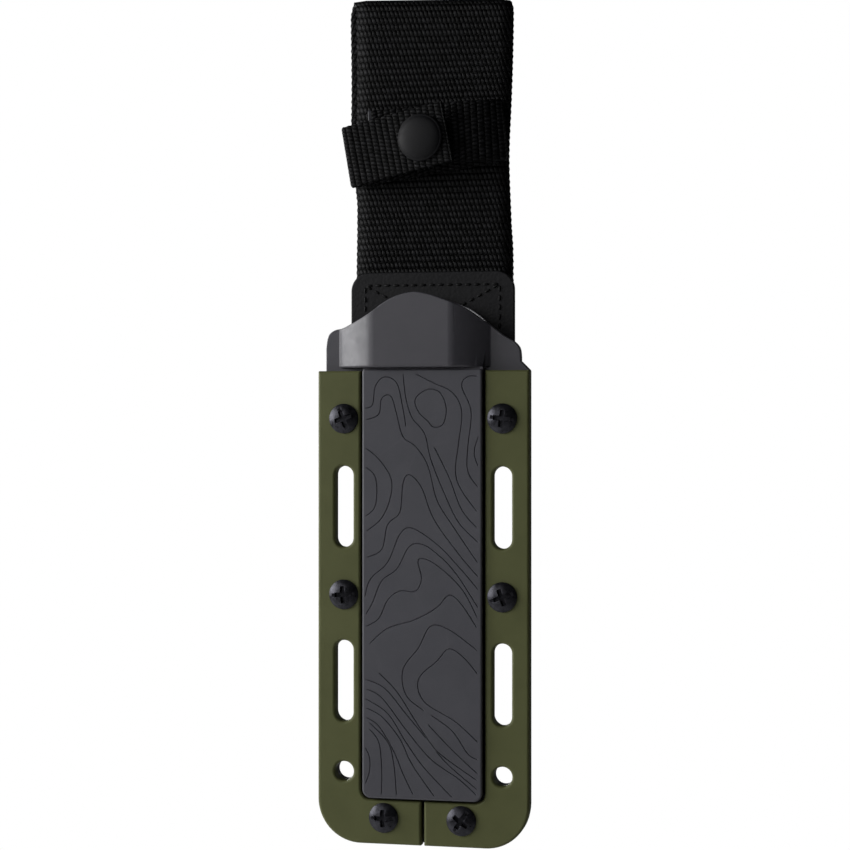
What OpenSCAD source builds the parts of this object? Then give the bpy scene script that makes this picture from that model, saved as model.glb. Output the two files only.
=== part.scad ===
// Belt sheath for a fixed-blade tool: two moulded half shells screwed together between
// two L-shaped strap rails, hung from a folded webbing belt loop with a snap keeper strap.
// The model is laid out from the foot of the rails (z = 0) and the parting plane of the
// half shells (y = 0), front to -Y, and in_frame() moves it so that the belt's place is
// the origin.

/* [Rails] */
// Half width over both rails
rail_half_w = 34.3; // [33.5:0.1:36]
// Half width of the window between the uprights
window_half_w = 20.2; // [20:0.1:20.6]
// Height of the rails
rail_h = 151; // [150.6:0.1:151.4]
// Height of the foot under the window
foot_h = 14; // [13:0.1:14.2]
// Thickness of a rail
rail_t = 3.8; // [3:0.1:5]
// Radius of the outer lower corners
rail_corner_r = 14; // [8:0.5:16]
// Radius of the window's lower corners
window_corner_r = 3.5; // [1:0.1:4]
// Gap between the two feet
foot_gap = 0.9; // [0.3:0.1:2]

/* [Strap slots] */
// Distance of slots, lashing holes and side screws from the middle
hole_x = 25.7; // [25.6:0.1:26]
// Centre heights of the two slots in a rail
slot_z = [51.8, 107.6];
// Slot length from end to end
slot_l = 26; // [15:0.5:28]
// Slot width
slot_w = 6; // [4:0.1:6.4]
// How much further the shells' slots reach than the rails', all round
slot_clearance = 0.6; // [0:0.1:1]
// Height of the round lashing hole
lash_z = 22.9; // [22:0.1:25]
// Radius of the round lashing hole
lash_r = 3.1; // [2:0.1:3.2]

/* [Half shells] */
// Thickness of the flange of one half shell
flange_t = 1.6; // [1.2:0.1:2]
// Inset of the flange from the outline of the rails
flange_inset = 0.35; // [0.2:0.05:0.6]
// Half width of the raised panel
panel_half_w = 19.4; // [19:0.1:19.5]
// Height where the raised panel starts
panel_z = 14.8; // [14.6:0.1:15.2]
// Height where the raised panel ends
panel_top_z = 151.4; // [151:0.1:151.5]
// Rise of the panel over the parting plane
panel_rise = 6.6; // [6:0.1:7]
// Radius of the panel's lower corners
panel_corner_r = 2.7; // [1:0.1:3]
// Wall thickness of panel and mouth
wall_t = 1.7; // [1.4:0.1:2]

/* [Mouth] */
// Rise of the mouth's bulge over the parting plane
bulge_rise = 9.3; // [8.6:0.1:9.4]
// Left and right ends of the bulge where it meets the flange
bulge_foot_x = [-28, 21.2];
// Left and right ends of the bulge's flat front
bulge_flat_x = [-15.9, 9.7];
// Slope at which the bulge's flanks leave its flat front, in degrees
flank_slope = 15; // [5:1:25]
// Height of the bulge's lower edge
bulge_z = 152; // [151.8:0.1:152.5]
// Height above which the mouth flange stands free of the rails
shoulder_z = 153.7; // [153:0.1:154]
// The arched rim from left to right, as points of a smooth curve
rim_points = [
    [-32.6, 158.5], [-31.9, 162.3], [-29.8, 164.2], [-26, 165], [-21, 167], [-16.4, 169.4],
    [-12, 172.5], [-7.6, 174.7], [-2.4, 175.8], [2, 175.2], [7.5, 173.4], [14, 170.7],
    [20.5, 166], [25.4, 162.2], [28.8, 160.2], [30.6, 158], [31, 155]];

/* [Screws] */
// Heights of the upper and middle screws
side_screw_z = [135.75, 79.5];
// Distance of the foot screws from the middle
foot_screw_x = 12.6; // [11:0.1:14]
// Height of the foot screws
foot_screw_z = 8.55; // [7:0.05:9]
// Radius of a screw's head
head_r = 4.75; // [4:0.05:5]
// Height of the domed head
head_h = 2; // [1.6:0.1:2.4]
// Radius of a screw's shank
shank_r = 2.05; // [1.5:0.05:2.1]
// Radius of a post nut's barrel
barrel_r = 2.58; // [2.4:0.01:2.6]
// Width of the driver slot
driver_w = 0.9; // [0.6:0.1:1.2]

/* [Hanger tab] */
// Half width of the tab beside the mouth
tab_half_w = 27.1; // [25.6:0.1:28]
// Half width of the tab at the upper screws
tab_foot_half_w = 31.5; // [31:0.1:33]
// Height of the tab's top edge
tab_top_z = 183.5; // [182:0.1:183.5]
// Height of the tab's lower edge
tab_z = 127; // [125:0.5:129]
// Thickness of the tab
tab_t = 2; // [1.5:0.1:2]
// Front face of the tab
tab_front_y = 9.6; // [9.6:0.1:9.8]
// Radius of the tab's corners
tab_corner_r = 6; // [3:0.5:8]

/* [Belt loop] */
// Half width of the webbing
web_half_w = 25.5; // [24:0.1:25.5]
// Thickness of the webbing
web_t = 2.1; // [1.8:0.1:2.1]
// Height of the fold at the top of the loop
web_top_z = 272; // [262:1:290]
// Height of the line on which the loop bends over the tab
bend_z = 186; // [186:0.1:188]
// Height where the sewn tails end behind the tab
tail_z = 152; // [146:1:158]
// How far the back layer swings out behind the front layer
loop_gap = 6; // [5:0.1:8]
// Sideways drift of the back layer at the top
web_skew = 3.4; // [0:0.1:4]

/* [Keeper strap] */
// Half width of the keeper strap
strap_half_w = 10; // [9:0.1:11]
// Thickness of the keeper strap
strap_t = 1.5; // [1.2:0.1:1.6]
// Left fold of the keeper strap: across and height
left_fold = [-26.4, 221.5];
// Right fold of the keeper strap: across and height
right_fold = [21.9, 228.6];
// Radius of the folds at the middle of the strap
fold_r = 1.6; // [1.5:0.05:1.8]
// Rise to the right of the outer arm in degrees
outer_tilt = 11; // [8:0.5:13]
// Rise to the right of the inner arm in degrees
inner_tilt = 3; // [0:0.5:5]
// Forward slope of the outer arm in degrees
arm_slope = 10; // [9:0.5:11]
// Length of the outer arm from its fold
outer_arm_l = 34.2; // [33:0.1:36]
// Distance of the snap from the left fold
snap_s = 25.3; // [25:0.1:25.6]
// Radius of the snap's cap
cap_r = 7.6; // [6.5:0.1:8]
// Height of the snap's domed cap
cap_h = 2.2; // [1.8:0.1:2.4]

/* [Hidden] */
$fn = 64;
// Small overlap that keeps joined shapes from meeting in a bare face
bite = 0.02;
web_front_y = tab_front_y + tab_t;
bend_y = web_front_y + web_t;
// The belt's place, which is the origin of the model
belt_y = bend_y + loop_gap / 2;
belt_z = web_top_z - 28;
rail_front_y = -flange_t - rail_t;
// Clear hole round a barrel, and bore inside it
barrel_hole_r = barrel_r + 0.07;
barrel_bore_r = shank_r + 0.05;
// Middle of the strap where it lies on the webbing, and the axis height of its folds
fold_y = web_front_y - strap_t / 2 - fold_r;
// Front face of the outer arm, measured from its fold's axis
arm_face = -fold_r - strap_t / 2;
// Turn from the front over which an arm still follows its fold
fold_turn = 40;
// Depths from the outer arm's front face at which the snap's pieces lie
socket_depth = strap_t;
socket_h = 1.4;
stud_depth = socket_depth + socket_h + 0.3;
stud_h = 0.6;
stud_r = 4.8;
inner_depth = stud_depth + stud_h;
post_depth = inner_depth + strap_t;
post_h = 0.7;
post_r = 4.5;
rivet_r = 1.4;
green = "#494C38";
charcoal = "#45444A";
black = "#1C1C20";
nylon = "#141416";

module in_frame() translate([0, -belt_y, -belt_z]) children();

// A flat outline drawn in x and z, made solid from y = front to y = back
module slab(front, back) {
    translate([0, back, 0]) rotate([90, 0, 0]) linear_extrude(back - front) children();
}

// A round hole or shaft along y
module shaft(r, front, back) {
    translate([0, back, 0]) rotate([90, 0, 0]) cylinder(r = r, h = back - front);
}

// A point of the smooth curve through p0..p3, between p1 and p2
function smooth(p0, p1, p2, p3, t) = 0.5 * (2 * p1 + (p2 - p0) * t
    + (2 * p0 - 5 * p1 + 4 * p2 - p3) * t * t + (3 * p1 - p0 - 3 * p2 + p3) * t * t * t);
function curve(p, steps) = [
    for (i = [0 : len(p) - 2], k = [0 : steps - 1])
        smooth(p[max(i - 1, 0)], p[i], p[i + 1], p[min(i + 2, len(p) - 1)], k / steps),
    p[len(p) - 1]];

// Rectangle standing on its lower edge's middle, with round lower and upper corners
module plate(half_w, h, lower_r, upper_r) {
    translate([-half_w, lower_r]) square([2 * half_w, h - lower_r - upper_r]);
    for (end = [[lower_r, lower_r, 0], [upper_r, h - upper_r, h - 2 * upper_r]]) {
        r = end[0];
        if (r > 0 && half_w > r) translate([r - half_w, end[2]]) square(2 * [half_w - r, r]);
        if (r > 0) for (side = half_w > r ? [-1, 1] : [0])
            translate([side * (half_w - r), end[1]]) circle(r);
    }
}

module slot_outline(z, clearance) {
    r = slot_w / 2 + clearance;
    translate([hole_x, z - slot_l / 2 - clearance]) plate(r, slot_l + 2 * clearance, r, r);
}

// ---- rails -------------------------------------------------------------------------

module rail() {
    difference() {
        slab(rail_front_y, -flange_t) difference() {
            plate(rail_half_w, rail_h, rail_corner_r, 0);
            translate([0, foot_h]) plate(window_half_w, rail_h, window_corner_r, 0);
            translate([-2 * rail_half_w + foot_gap / 2, -1]) square([2 * rail_half_w, rail_h + 2]);
            for (z = slot_z) slot_outline(z, 0);
        }
        translate([hole_x, 0, lash_z]) shaft(lash_r, rail_front_y - 1, 0);
        for (z = side_screw_z) translate([hole_x, 0, z]) shaft(barrel_hole_r, rail_front_y - 1, 0);
        translate([foot_screw_x, 0, foot_screw_z]) shaft(barrel_hole_r, rail_front_y - 1, 0);
    }
}

module right_rail() color(green) in_frame() rail();
module left_rail() color(green) in_frame() mirror([1, 0, 0]) rail();

// ---- half shells -------------------------------------------------------------------

module rim_outline() {
    polygon(concat([[rim_points[0][0], bulge_z - 3]], curve(rim_points, 4),
        [[rim_points[len(rim_points) - 1][0], bulge_z - 3]]));
}

// Flange plate with its free shoulder at the top right and the mouth's own flange
module flange() {
    edge = rail_half_w - flange_inset;
    slab(-flange_t, 0) translate([0, flange_inset])
        plate(edge, rail_h - flange_inset - 0.2, rail_corner_r - flange_inset, 0);
    slab(-flange_t, 0) polygon([[rim_points[0][0], rail_h - 2], [edge, rail_h - 2],
        [edge, rail_h], [edge - (shoulder_z - rail_h), shoulder_z],
        [rim_points[0][0], shoulder_z]]);
    slab(-flange_t, 0) rim_outline();
}

module panel_outline(inset) {
    translate([0, panel_z + inset])
        plate(panel_half_w - inset, panel_top_z - panel_z - inset, panel_corner_r - inset, 0);
}

// Arc from the bulge's flat front down to its foot, which leaves the front at flank_slope
function flank(flat, foot, rise) =
    let (run = abs(foot - flat), turn = 2 * (atan2(rise, run) - flank_slope),
        r = run / (sin(flank_slope + turn) - sin(flank_slope)))
    [for (i = [0 : 8]) let (a = flank_slope + turn * i / 8)
        [flat + sign(foot - flat) * r * (sin(a) - sin(flank_slope)),
            -flange_t - rise + r * (cos(flank_slope) - cos(a))]];

// The mouth's bulge, shrunk by a wall: a flat front between two arched flanks
module bulge(inset) {
    rise = bulge_rise - flange_t - inset;
    foot = bulge_foot_x + [inset, -inset];
    flat = bulge_flat_x + [inset * 0.4, -inset * 0.4];
    low = bulge_z + inset;
    high = rim_points[8][1] + 6;
    left = flank(flat[0], foot[0], rise);
    translate([0, 0, low]) linear_extrude(high - low) polygon(concat(
        [[foot[0], 0]],
        [for (i = [8 : -1 : 0]) left[i]],
        flank(flat[1], foot[1], rise),
        [[foot[1], 0]]));
}

module half_shell() {
    difference() {
        union() {
            flange();
            slab(-panel_rise, 0) panel_outline(0);
            // Low neck that joins the panel's top to the bulge
            slab(rail_front_y, 0) translate([-panel_half_w, panel_top_z - 1])
                square([2 * panel_half_w, bulge_z - panel_top_z + 1.1]);
            intersection() {
                bulge(0);
                slab(-2 * bulge_rise, 0) rim_outline();
            }
        }
        // Blade pocket, open along the parting plane and into the mouth
        slab(wall_t - panel_rise, 1) panel_outline(wall_t);
        slab(wall_t - panel_rise, 1) translate([wall_t - panel_half_w, panel_top_z - 1])
            square([2 * (panel_half_w - wall_t), 12]);
        bulge(wall_t);
        for (side = [-1, 1]) {
            for (z = slot_z)
                slab(-flange_t - 1, 1) mirror([side < 0 ? 1 : 0, 0])
                    slot_outline(z, slot_clearance);
            translate([side * hole_x, 0, lash_z]) shaft(lash_r, -flange_t - 1, 1);
            for (z = side_screw_z)
                translate([side * hole_x, 0, z]) shaft(barrel_hole_r, -flange_t - 1, 1);
            translate([side * foot_screw_x, 0, foot_screw_z])
                shaft(barrel_hole_r, -flange_t - 1, 1);
        }
    }
}

module front_shell() color(charcoal) in_frame() half_shell();

module back_shell() color(charcoal) in_frame() {
    mirror([0, 1, 0]) half_shell();
    // Bosses that carry the hanger tab clear of the mouth
    for (side = [-1, 1]) translate([side * hole_x, 0, side_screw_z[0]]) difference() {
        shaft(5, flange_t - bite, tab_front_y);
        shaft(barrel_hole_r, 0, tab_front_y + 1);
    }
}

// ---- screws and post nuts ----------------------------------------------------------

// A flat-edged dome whose underside is at z = 0
module dome(r, h, edge_h) {
    ball_r = (r * r + (h - edge_h) * (h - edge_h)) / (2 * (h - edge_h));
    intersection() {
        translate([0, 0, h - ball_r]) sphere(r = ball_r, $fn = 160);
        cylinder(r = r, h = h + 1);
    }
}

// Combination drive screw, its head's underside on z = 0 and its shank down -Z
module screw(slot_turn) {
    difference() {
        union() {
            dome(head_r, head_h, 0.5);
            translate([0, 0, -5.2]) cylinder(r = shank_r, h = 5.2 + bite);
        }
        rotate([0, 0, slot_turn]) {
            translate([-6, -driver_w / 2, head_h - 0.9]) cube([12, driver_w, 2]);
            for (turn = [0, 90]) rotate([0, 0, turn])
                translate([-2.7, -0.7, head_h - 1.6]) cube([5.4, 1.4, 3]);
        }
    }
}

// Post nut: a barrel from its domed head at z = 0 up to z = barrel_l
module post_nut(barrel_l) {
    difference() {
        union() {
            mirror([0, 0, 1]) dome(4.5, 1.8, 0.5);
            translate([0, 0, -bite]) cylinder(r = barrel_r, h = barrel_l + bite);
        }
        translate([0, 0, 0.6]) cylinder(r = barrel_bore_r, h = barrel_l);
        translate([-6, -0.5, -3]) cube([12, 1, 2]);
    }
}

// Stands a fastener on the front face of a rail, pointing forward
module at_front(x, z) translate([x, rail_front_y, z]) rotate([90, 0, 0]) children();

module set_screw(x, z, turn) color(black) in_frame() at_front(x, z) screw(turn);

module set_nut(x, z, seat_y) color(black) in_frame()
    translate([x, seat_y, z]) rotate([90, 0, 0]) post_nut(seat_y - rail_front_y - 0.7);

module screw_top_left() set_screw(-hole_x, side_screw_z[0], -70);
module screw_top_right() set_screw(hole_x, side_screw_z[0], -8);
module screw_middle_left() set_screw(-hole_x, side_screw_z[1], 4);
module screw_middle_right() set_screw(hole_x, side_screw_z[1], 20);
module screw_foot_left() set_screw(-foot_screw_x, foot_screw_z, 0);
module screw_foot_right() set_screw(foot_screw_x, foot_screw_z, 55);

module post_nut_top_left() set_nut(-hole_x, side_screw_z[0], web_front_y);
module post_nut_top_right() set_nut(hole_x, side_screw_z[0], web_front_y);
module post_nut_middle_left() set_nut(-hole_x, side_screw_z[1], flange_t);
module post_nut_middle_right() set_nut(hole_x, side_screw_z[1], flange_t);
module post_nut_foot_left() set_nut(-foot_screw_x, foot_screw_z, flange_t);
module post_nut_foot_right() set_nut(foot_screw_x, foot_screw_z, flange_t);

// ---- hanger tab and belt webbing ---------------------------------------------------

module hanger_tab() color(black) in_frame() difference() {
    union() {
        slab(tab_front_y, web_front_y) translate([0, shoulder_z - 1])
            plate(tab_half_w, tab_top_z - shoulder_z + 1, 0, tab_corner_r);
        slab(tab_front_y, web_front_y) polygon([[3 - tab_half_w, shoulder_z + 4],
            [tab_half_w - 3, shoulder_z + 4], [tab_foot_half_w, shoulder_z - 8],
            [tab_foot_half_w, shoulder_z - 12], [-tab_foot_half_w, shoulder_z - 12],
            [-tab_foot_half_w, shoulder_z - 8]]);
        slab(tab_front_y, web_front_y) translate([0, tab_z])
            plate(tab_foot_half_w, shoulder_z - 10 - tab_z, 5, 0);
    }
    for (side = [-1, 1]) translate([side * hole_x, 0, side_screw_z[0]])
        shaft(barrel_hole_r, tab_front_y - 1, web_front_y + 1);
}

// The webbing's sewn ends, which lie behind the tab
module tail(y) color(nylon) in_frame()
    slab(y, y + web_t) translate([0, tail_z])
        plate(web_half_w, bend_z - web_t - 0.3 - tail_z, 1, 0);

module webbing_tail_front() tail(web_front_y);
module webbing_tail_back() tail(bend_y);

// Band swept along rows of [x shift, y, z]; its width runs along x
module band(rows, half_w, t) {
    n = len(rows);
    way = [for (i = [0 : n - 1]) rows[min(i + 1, n - 1)] - rows[max(i - 1, 0)]];
    normal = [for (w = way) [0, w[2], -w[1]] / norm([0, w[2], w[1]])];
    points = [for (i = [0 : n - 1], c = [[-1, -1], [1, -1], [1, 1], [-1, 1]])
        rows[i] + [c[0] * half_w, 0, 0] + c[1] * t / 2 * normal[i]];
    sides = [for (i = [0 : n - 2], k = [0 : 3])
        [4 * i + k, 4 * i + 4 + k, 4 * i + 4 + (k + 1) % 4, 4 * i + (k + 1) % 4]];
    polyhedron(points, concat([[0, 1, 2, 3]], sides,
        [[4 * n - 1, 4 * n - 2, 4 * n - 3, 4 * n - 4]]));
}

function ease(t) = t <= 0 ? 0 : t >= 1 ? 1 : t * t * (3 - 2 * t);

// Upper webbing: up the front, over the top fold and down the back to the bend line
loop_mid_r = (loop_gap + web_t) / 2;
loop_rows = concat(
    [for (i = [0 : 4]) [0, bend_y - web_t / 2,
        bend_z + (web_top_z - web_t / 2 - loop_mid_r - bend_z) * i / 4]],
    [for (a = [15 : 15 : 180]) [-web_skew * ease(a / 180),
        belt_y - loop_mid_r * cos(a),
        web_top_z - web_t / 2 - loop_mid_r + loop_mid_r * sin(a)]],
    [for (i = [1 : 18]) let (t = i / 18, z = web_top_z - web_t / 2 - loop_mid_r
            - t * (web_top_z - web_t / 2 - loop_mid_r - bend_z))
        [-web_skew * (1 - t), bend_y + web_t / 2 + loop_gap * ease((z - bend_z - 3) / 34), z]]);

module webbing_loop() color(nylon) in_frame() {
    band(loop_rows, web_half_w, web_t);
    // Sewn foot of the loop, rounded about the bend line
    translate([-web_half_w, bend_y, bend_z]) rotate([0, 90, 0])
        cylinder(r = web_t, h = 2 * web_half_w);
    translate([-web_half_w, bend_y - web_t / 2, bend_z])
        cube([2 * web_half_w, web_t, 4]);
}

// ---- keeper strap and its snap -----------------------------------------------------

// Axis of the left fold; +X runs along the outer arm and +Z up along the fold
module outer_arm_frame() in_frame() translate([left_fold[0], fold_y, left_fold[1]])
    rotate([0, -outer_tilt, 0]) rotate([0, 0, -arm_slope]) children();

// Axis of the right fold; -X runs along the inner arm and +Z up along the fold
module inner_arm_frame() in_frame() translate([right_fold[0], fold_y, right_fold[1]])
    rotate([0, -inner_tilt, 0]) children();

// A place on the snap's axis at a depth behind the outer arm's front face, +Z backward
module at_snap(depth) outer_arm_frame()
    translate([snap_s, arm_face + depth, 0]) rotate([-90, 0, 0]) children();

module keeper_base() color(nylon) in_frame()
    slab(web_front_y - strap_t, web_front_y) {
        run = right_fold - left_fold;
        translate(left_fold) rotate(atan2(run[1], run[0]))
            translate([0.8, -strap_half_w]) square([norm(run) - 1.6, 2 * strap_half_w]);
    }

// Part of the fold that turns with an arm
module fold_lip(from) rotate([0, 0, from])
    rotate_extrude(angle = fold_turn)
        translate([fold_r - strap_t / 2, -strap_half_w]) square([strap_t, 2 * strap_half_w]);

module keeper_outer_arm() color(nylon) difference() {
    outer_arm_frame() {
        fold_lip(-90 - fold_turn);
        translate([-bite, arm_face, -strap_half_w])
            cube([outer_arm_l, strap_t, 2 * strap_half_w]);
    }
    at_snap(-1) cylinder(r = rivet_r + 0.05, h = strap_t + 2);
}

// Middle line of the inner arm from its free end to its fold, from the fold's axis
inner_arm_path = [
    [-42.5, -0.5], [-36, -0.85], [-29, -1.22], [-22.5, -2.37], [-16, -3.52], [-12, -4],
    [-8, -3.9], [-4.2, -3.2], [-1.6, -2.25], [0, -1.6]];

module keeper_inner_arm() color(nylon) difference() {
    inner_arm_frame() {
        rotate([0, 90, 0]) mirror([1, 0, 0])
            band([for (p = curve(inner_arm_path, 3)) [0, p[1], p[0]]], strap_half_w, strap_t);
        fold_lip(-90);
    }
    at_snap(inner_depth - 2) cylinder(r = rivet_r + 0.05, h = strap_t + 4);
    // The strap is pinched flat between the stud's flange and the post's head
    at_snap(inner_depth - 2) cylinder(r = stud_r + 0.05, h = 2);
    at_snap(post_depth) cylinder(r = post_r + 0.05, h = 2);
}

module snap_cap() color(black) {
    at_snap(0) mirror([0, 0, 1]) dome(cap_r, cap_h, 0.8);
    at_snap(-bite) cylinder(r = rivet_r, h = socket_depth + 0.6);
}

module snap_socket() color(black) at_snap(socket_depth) difference() {
    cylinder(r = 5.6, h = socket_h);
    translate([0, 0, 0.5]) cylinder(r = 3, h = socket_h);
    translate([0, 0, -1]) cylinder(r = rivet_r + 0.05, h = 3);
}

module snap_stud() color(black) at_snap(stud_depth) difference() {
    union() {
        cylinder(r = stud_r, h = stud_h);
        translate([0, 0, -1]) cylinder(r = 2.6, h = 1 + bite);
    }
    translate([0, 0, -0.6]) cylinder(r = rivet_r + 0.05, h = 3);
}

module snap_post() color(black) at_snap(post_depth) {
    cylinder(r = post_r, h = post_h);
    translate([0, 0, stud_depth - post_depth - 0.4])
        cylinder(r = rivet_r, h = post_depth - stud_depth + 0.4 + bite);
}

front_shell();
back_shell();
left_rail();
right_rail();
screw_top_left();
screw_top_right();
screw_middle_left();
screw_middle_right();
screw_foot_left();
screw_foot_right();
post_nut_top_left();
post_nut_top_right();
post_nut_middle_left();
post_nut_middle_right();
post_nut_foot_left();
post_nut_foot_right();
hanger_tab();
webbing_tail_front();
webbing_tail_back();
webbing_loop();
keeper_base();
keeper_outer_arm();
keeper_inner_arm();
snap_cap();
snap_socket();
snap_stud();
snap_post();
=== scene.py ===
"""Looks of a belt sheath: moulded shells, strap rails, black hardware, woven webbing and its lighting.

Places are laid out in millimetres from the foot of the rails and from the plane where the two
half shells part, with the front to -Y, and place() turns them into the frame's metres.
"""

import math

import bmesh
import bpy
import numpy as np
from mathutils import Matrix, Vector
from mathutils.geometry import delaunay_2d_cdt


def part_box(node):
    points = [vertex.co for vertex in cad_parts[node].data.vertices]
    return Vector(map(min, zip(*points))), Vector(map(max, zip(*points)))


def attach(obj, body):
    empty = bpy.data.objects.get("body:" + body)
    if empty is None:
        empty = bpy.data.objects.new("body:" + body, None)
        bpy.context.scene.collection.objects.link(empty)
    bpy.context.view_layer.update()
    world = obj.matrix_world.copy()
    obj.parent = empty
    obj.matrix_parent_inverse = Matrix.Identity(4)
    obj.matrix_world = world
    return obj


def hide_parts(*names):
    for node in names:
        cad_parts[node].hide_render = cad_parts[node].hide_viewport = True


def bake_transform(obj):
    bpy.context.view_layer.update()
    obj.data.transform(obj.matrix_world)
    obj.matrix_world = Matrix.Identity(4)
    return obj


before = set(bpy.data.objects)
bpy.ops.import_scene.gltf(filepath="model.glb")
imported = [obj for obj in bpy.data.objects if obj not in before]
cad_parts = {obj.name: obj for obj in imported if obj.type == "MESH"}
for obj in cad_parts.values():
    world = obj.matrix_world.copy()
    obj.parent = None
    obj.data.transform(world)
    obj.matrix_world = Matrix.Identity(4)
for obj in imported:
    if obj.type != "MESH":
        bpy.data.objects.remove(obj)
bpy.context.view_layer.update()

MM = 0.001
FOOT_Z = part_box("left_rail")[0].z
PARTING_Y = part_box("front_shell")[1].y


def place(x, y, z):
    """A point laid out in millimetres, in the frame's metres."""
    return Vector((x * MM, PARTING_Y + y * MM, FOOT_Z + z * MM))


def place_all(points):
    """Rows of laid-out millimetres, in the frame's metres."""
    return np.asarray(points, float) * MM + np.array([0, PARTING_Y, FOOT_Z])


# ---- sizes shared by several pieces, in millimetres --------------------------------------

# Names end in T for a thickness, R a radius, W a width, H a height, L a length, and in X, Y or Z
# for a place. NEAR is the slack in comparing places.
NEAR = 0.1
RAIL_FRONT_Y = (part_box("left_rail")[0].y - PARTING_Y) / MM
PANEL_HALF_W, PANEL_Z, PANEL_TOP_Z, PANEL_Y = 19.4, 14.8, 151.4, -6.6
PANEL_CORNER_R, PANEL_UPPER_R, PANEL_EDGE_R = 2.7, 0.9, 0.6
FLANGE_T = 1.6
BULGE_Z, BULGE_RISE = 152.0, 9.3
# Heights of the middles of the shells' and rails' holes; the shells' last level is in the mouth
HOLE_LEVELS = (22.9, 51.8, 79.5, 107.6, 135.75)
SHELL_LEVELS = HOLE_LEVELS + (158.0,)
FOOT_SCREW_X = 12.6
TAB_FRONT_Y, TAB_BACK_Y = 9.6, 11.6
WEB_T = 2.1
WEB_HALF_W = 25.5
WEB_FRONT_Y = TAB_BACK_Y
BEND_Y = WEB_FRONT_Y + WEB_T
BEND_Z = 186.0
TAIL_Z = 152.0
WEB_TOP_Z = 272.0
LOOP_GAP = 6.0
WEB_SKEW = 4.4
STRAP_T = 1.5
STRAP_HALF_W = 10.0
FOLD_R = 1.6
FOLD_Y = WEB_FRONT_Y - STRAP_T / 2 - FOLD_R
# Where the keeper strap folds forward at either side, across and up, and its arms in degrees
LEFT_FOLD = (-26.4, 221.5)
RIGHT_FOLD = (21.9, 228.6)
OUTER_TILT, INNER_TILT, ARM_SLOPE = 11.0, 3.0, 10.0
OUTER_ARM_L, SNAP_S = 34.2, 25.3
BASE_RUN = math.hypot(RIGHT_FOLD[0] - LEFT_FOLD[0], RIGHT_FOLD[1] - LEFT_FOLD[1])
BASE_TILT = math.degrees(math.atan2(RIGHT_FOLD[1] - LEFT_FOLD[1], RIGHT_FOLD[0] - LEFT_FOLD[0]))
WEAVE_ROW, WEAVE_BEAD = 2.05, 1.4
STRAP_ROW, STRAP_BEAD = 2.1, 1.3

# ---- materials ---------------------------------------------------------------------------


def srgb(r, g, b):
    """A colour as seen, 0 to 255, as the linear colour that shaders take."""
    def linear(v):
        v /= 255
        return v / 12.92 if v <= 0.04045 else ((v + 0.055) / 1.055) ** 2.4
    return (linear(r), linear(g), linear(b), 1.0)


def new_material(name):
    """A material, its node tree and its surface shader."""
    material = bpy.data.materials.new(name)
    material.use_nodes = True
    return material, material.node_tree, material.node_tree.nodes["Principled BSDF"]


def add(tree, kind, links=None, **values):
    """A node with its sockets set by name; links maps a socket's name to an output."""
    made = tree.nodes.new(kind)
    for key, value in values.items():
        setattr(made, key, value)
    for key, source in (links or {}).items():
        if isinstance(source, bpy.types.NodeSocket):
            tree.links.new(source, made.inputs[key])
        else:
            made.inputs[key].default_value = source
    return made


def noise(tree, coords, scale, detail=3.0, roughness=0.6):
    """A cloudy pattern from 0 to 1."""
    return add(tree, "ShaderNodeTexNoise", {"Vector": coords, "Scale": scale, "Detail": detail,
                                            "Roughness": roughness}).outputs["Fac"]


def ramp(tree, source, *stops):
    """A colour ramp from (place, colour) stops."""
    made = add(tree, "ShaderNodeValToRGB", {"Fac": source})
    while len(made.color_ramp.elements) < len(stops):
        made.color_ramp.elements.new(0.5)
    for element, (where, colour) in zip(made.color_ramp.elements, stops):
        element.position = where
        element.color = colour
    return made.outputs["Color"]


def span(tree, source, low, high, start=0.3, end=0.7):
    """A 0 to 1 pattern remapped to run from low to high."""
    return add(tree, "ShaderNodeMapRange", {"Value": source, "From Min": start, "From Max": end,
                                            "To Min": low, "To Max": high}).outputs["Result"]


def bump(tree, height, depth, under=None):
    """A bump of that depth in metres, laid over another bump."""
    links = {"Height": height, "Distance": depth, "Strength": 1.0}
    if under is not None:
        links["Normal"] = under
    return add(tree, "ShaderNodeBump", links).outputs["Normal"]


def mixed_colour(tree, factor, first, second):
    """A mix of two colours by a factor; a Mix node's colour sockets have no names of their own."""
    node = add(tree, "ShaderNodeMix", data_type="RGBA")
    for socket, source in ((0, factor), (6, first), (7, second)):
        if isinstance(source, bpy.types.NodeSocket):
            tree.links.new(source, node.inputs[socket])
        else:
            node.inputs[socket].default_value = source
    return node.outputs[2]


def moulded(name, dark, light, edge_wear_and_highlight, roughness, gloss, grain, grain_depth):
    """Moulded plastic: fine spark-eroded grain, cloudy tone, and paler edges that are partly rubbed wear
    and partly a painted highlight.
    """
    material, tree, shader = new_material(name)
    coords = add(tree, "ShaderNodeTexCoord").outputs["Object"]
    cloud = noise(tree, coords, 60, 4)
    tone = ramp(tree, cloud, (0.3, dark), (0.7, light))
    # Edges are lightened by pointiness and broken up by noise: partly rubbed wear, partly a painted
    # highlight along the edges.
    edge = add(tree, "ShaderNodeNewGeometry").outputs["Pointiness"]
    rubbed_and_highlit = span(tree, edge, 0, 0.45, 0.53, 0.62)
    edge_wear_and_highlight_mask = add(tree, "ShaderNodeMath", {0: rubbed_and_highlit, 1: noise(tree, coords, 900, 2)},
                 operation="MULTIPLY").outputs[0]
    tree.links.new(mixed_colour(tree, edge_wear_and_highlight_mask, tone, edge_wear_and_highlight), shader.inputs["Base Color"])
    fine = noise(tree, coords, grain, 2)
    scuffs = noise(tree, coords, 350, 5, 0.7)
    tree.links.new(span(tree, scuffs, roughness - 0.06, roughness + 0.08), shader.inputs["Roughness"])
    tree.links.new(bump(tree, fine, grain_depth), shader.inputs["Normal"])
    shader.inputs["Specular IOR Level"].default_value = gloss
    return material


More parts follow.
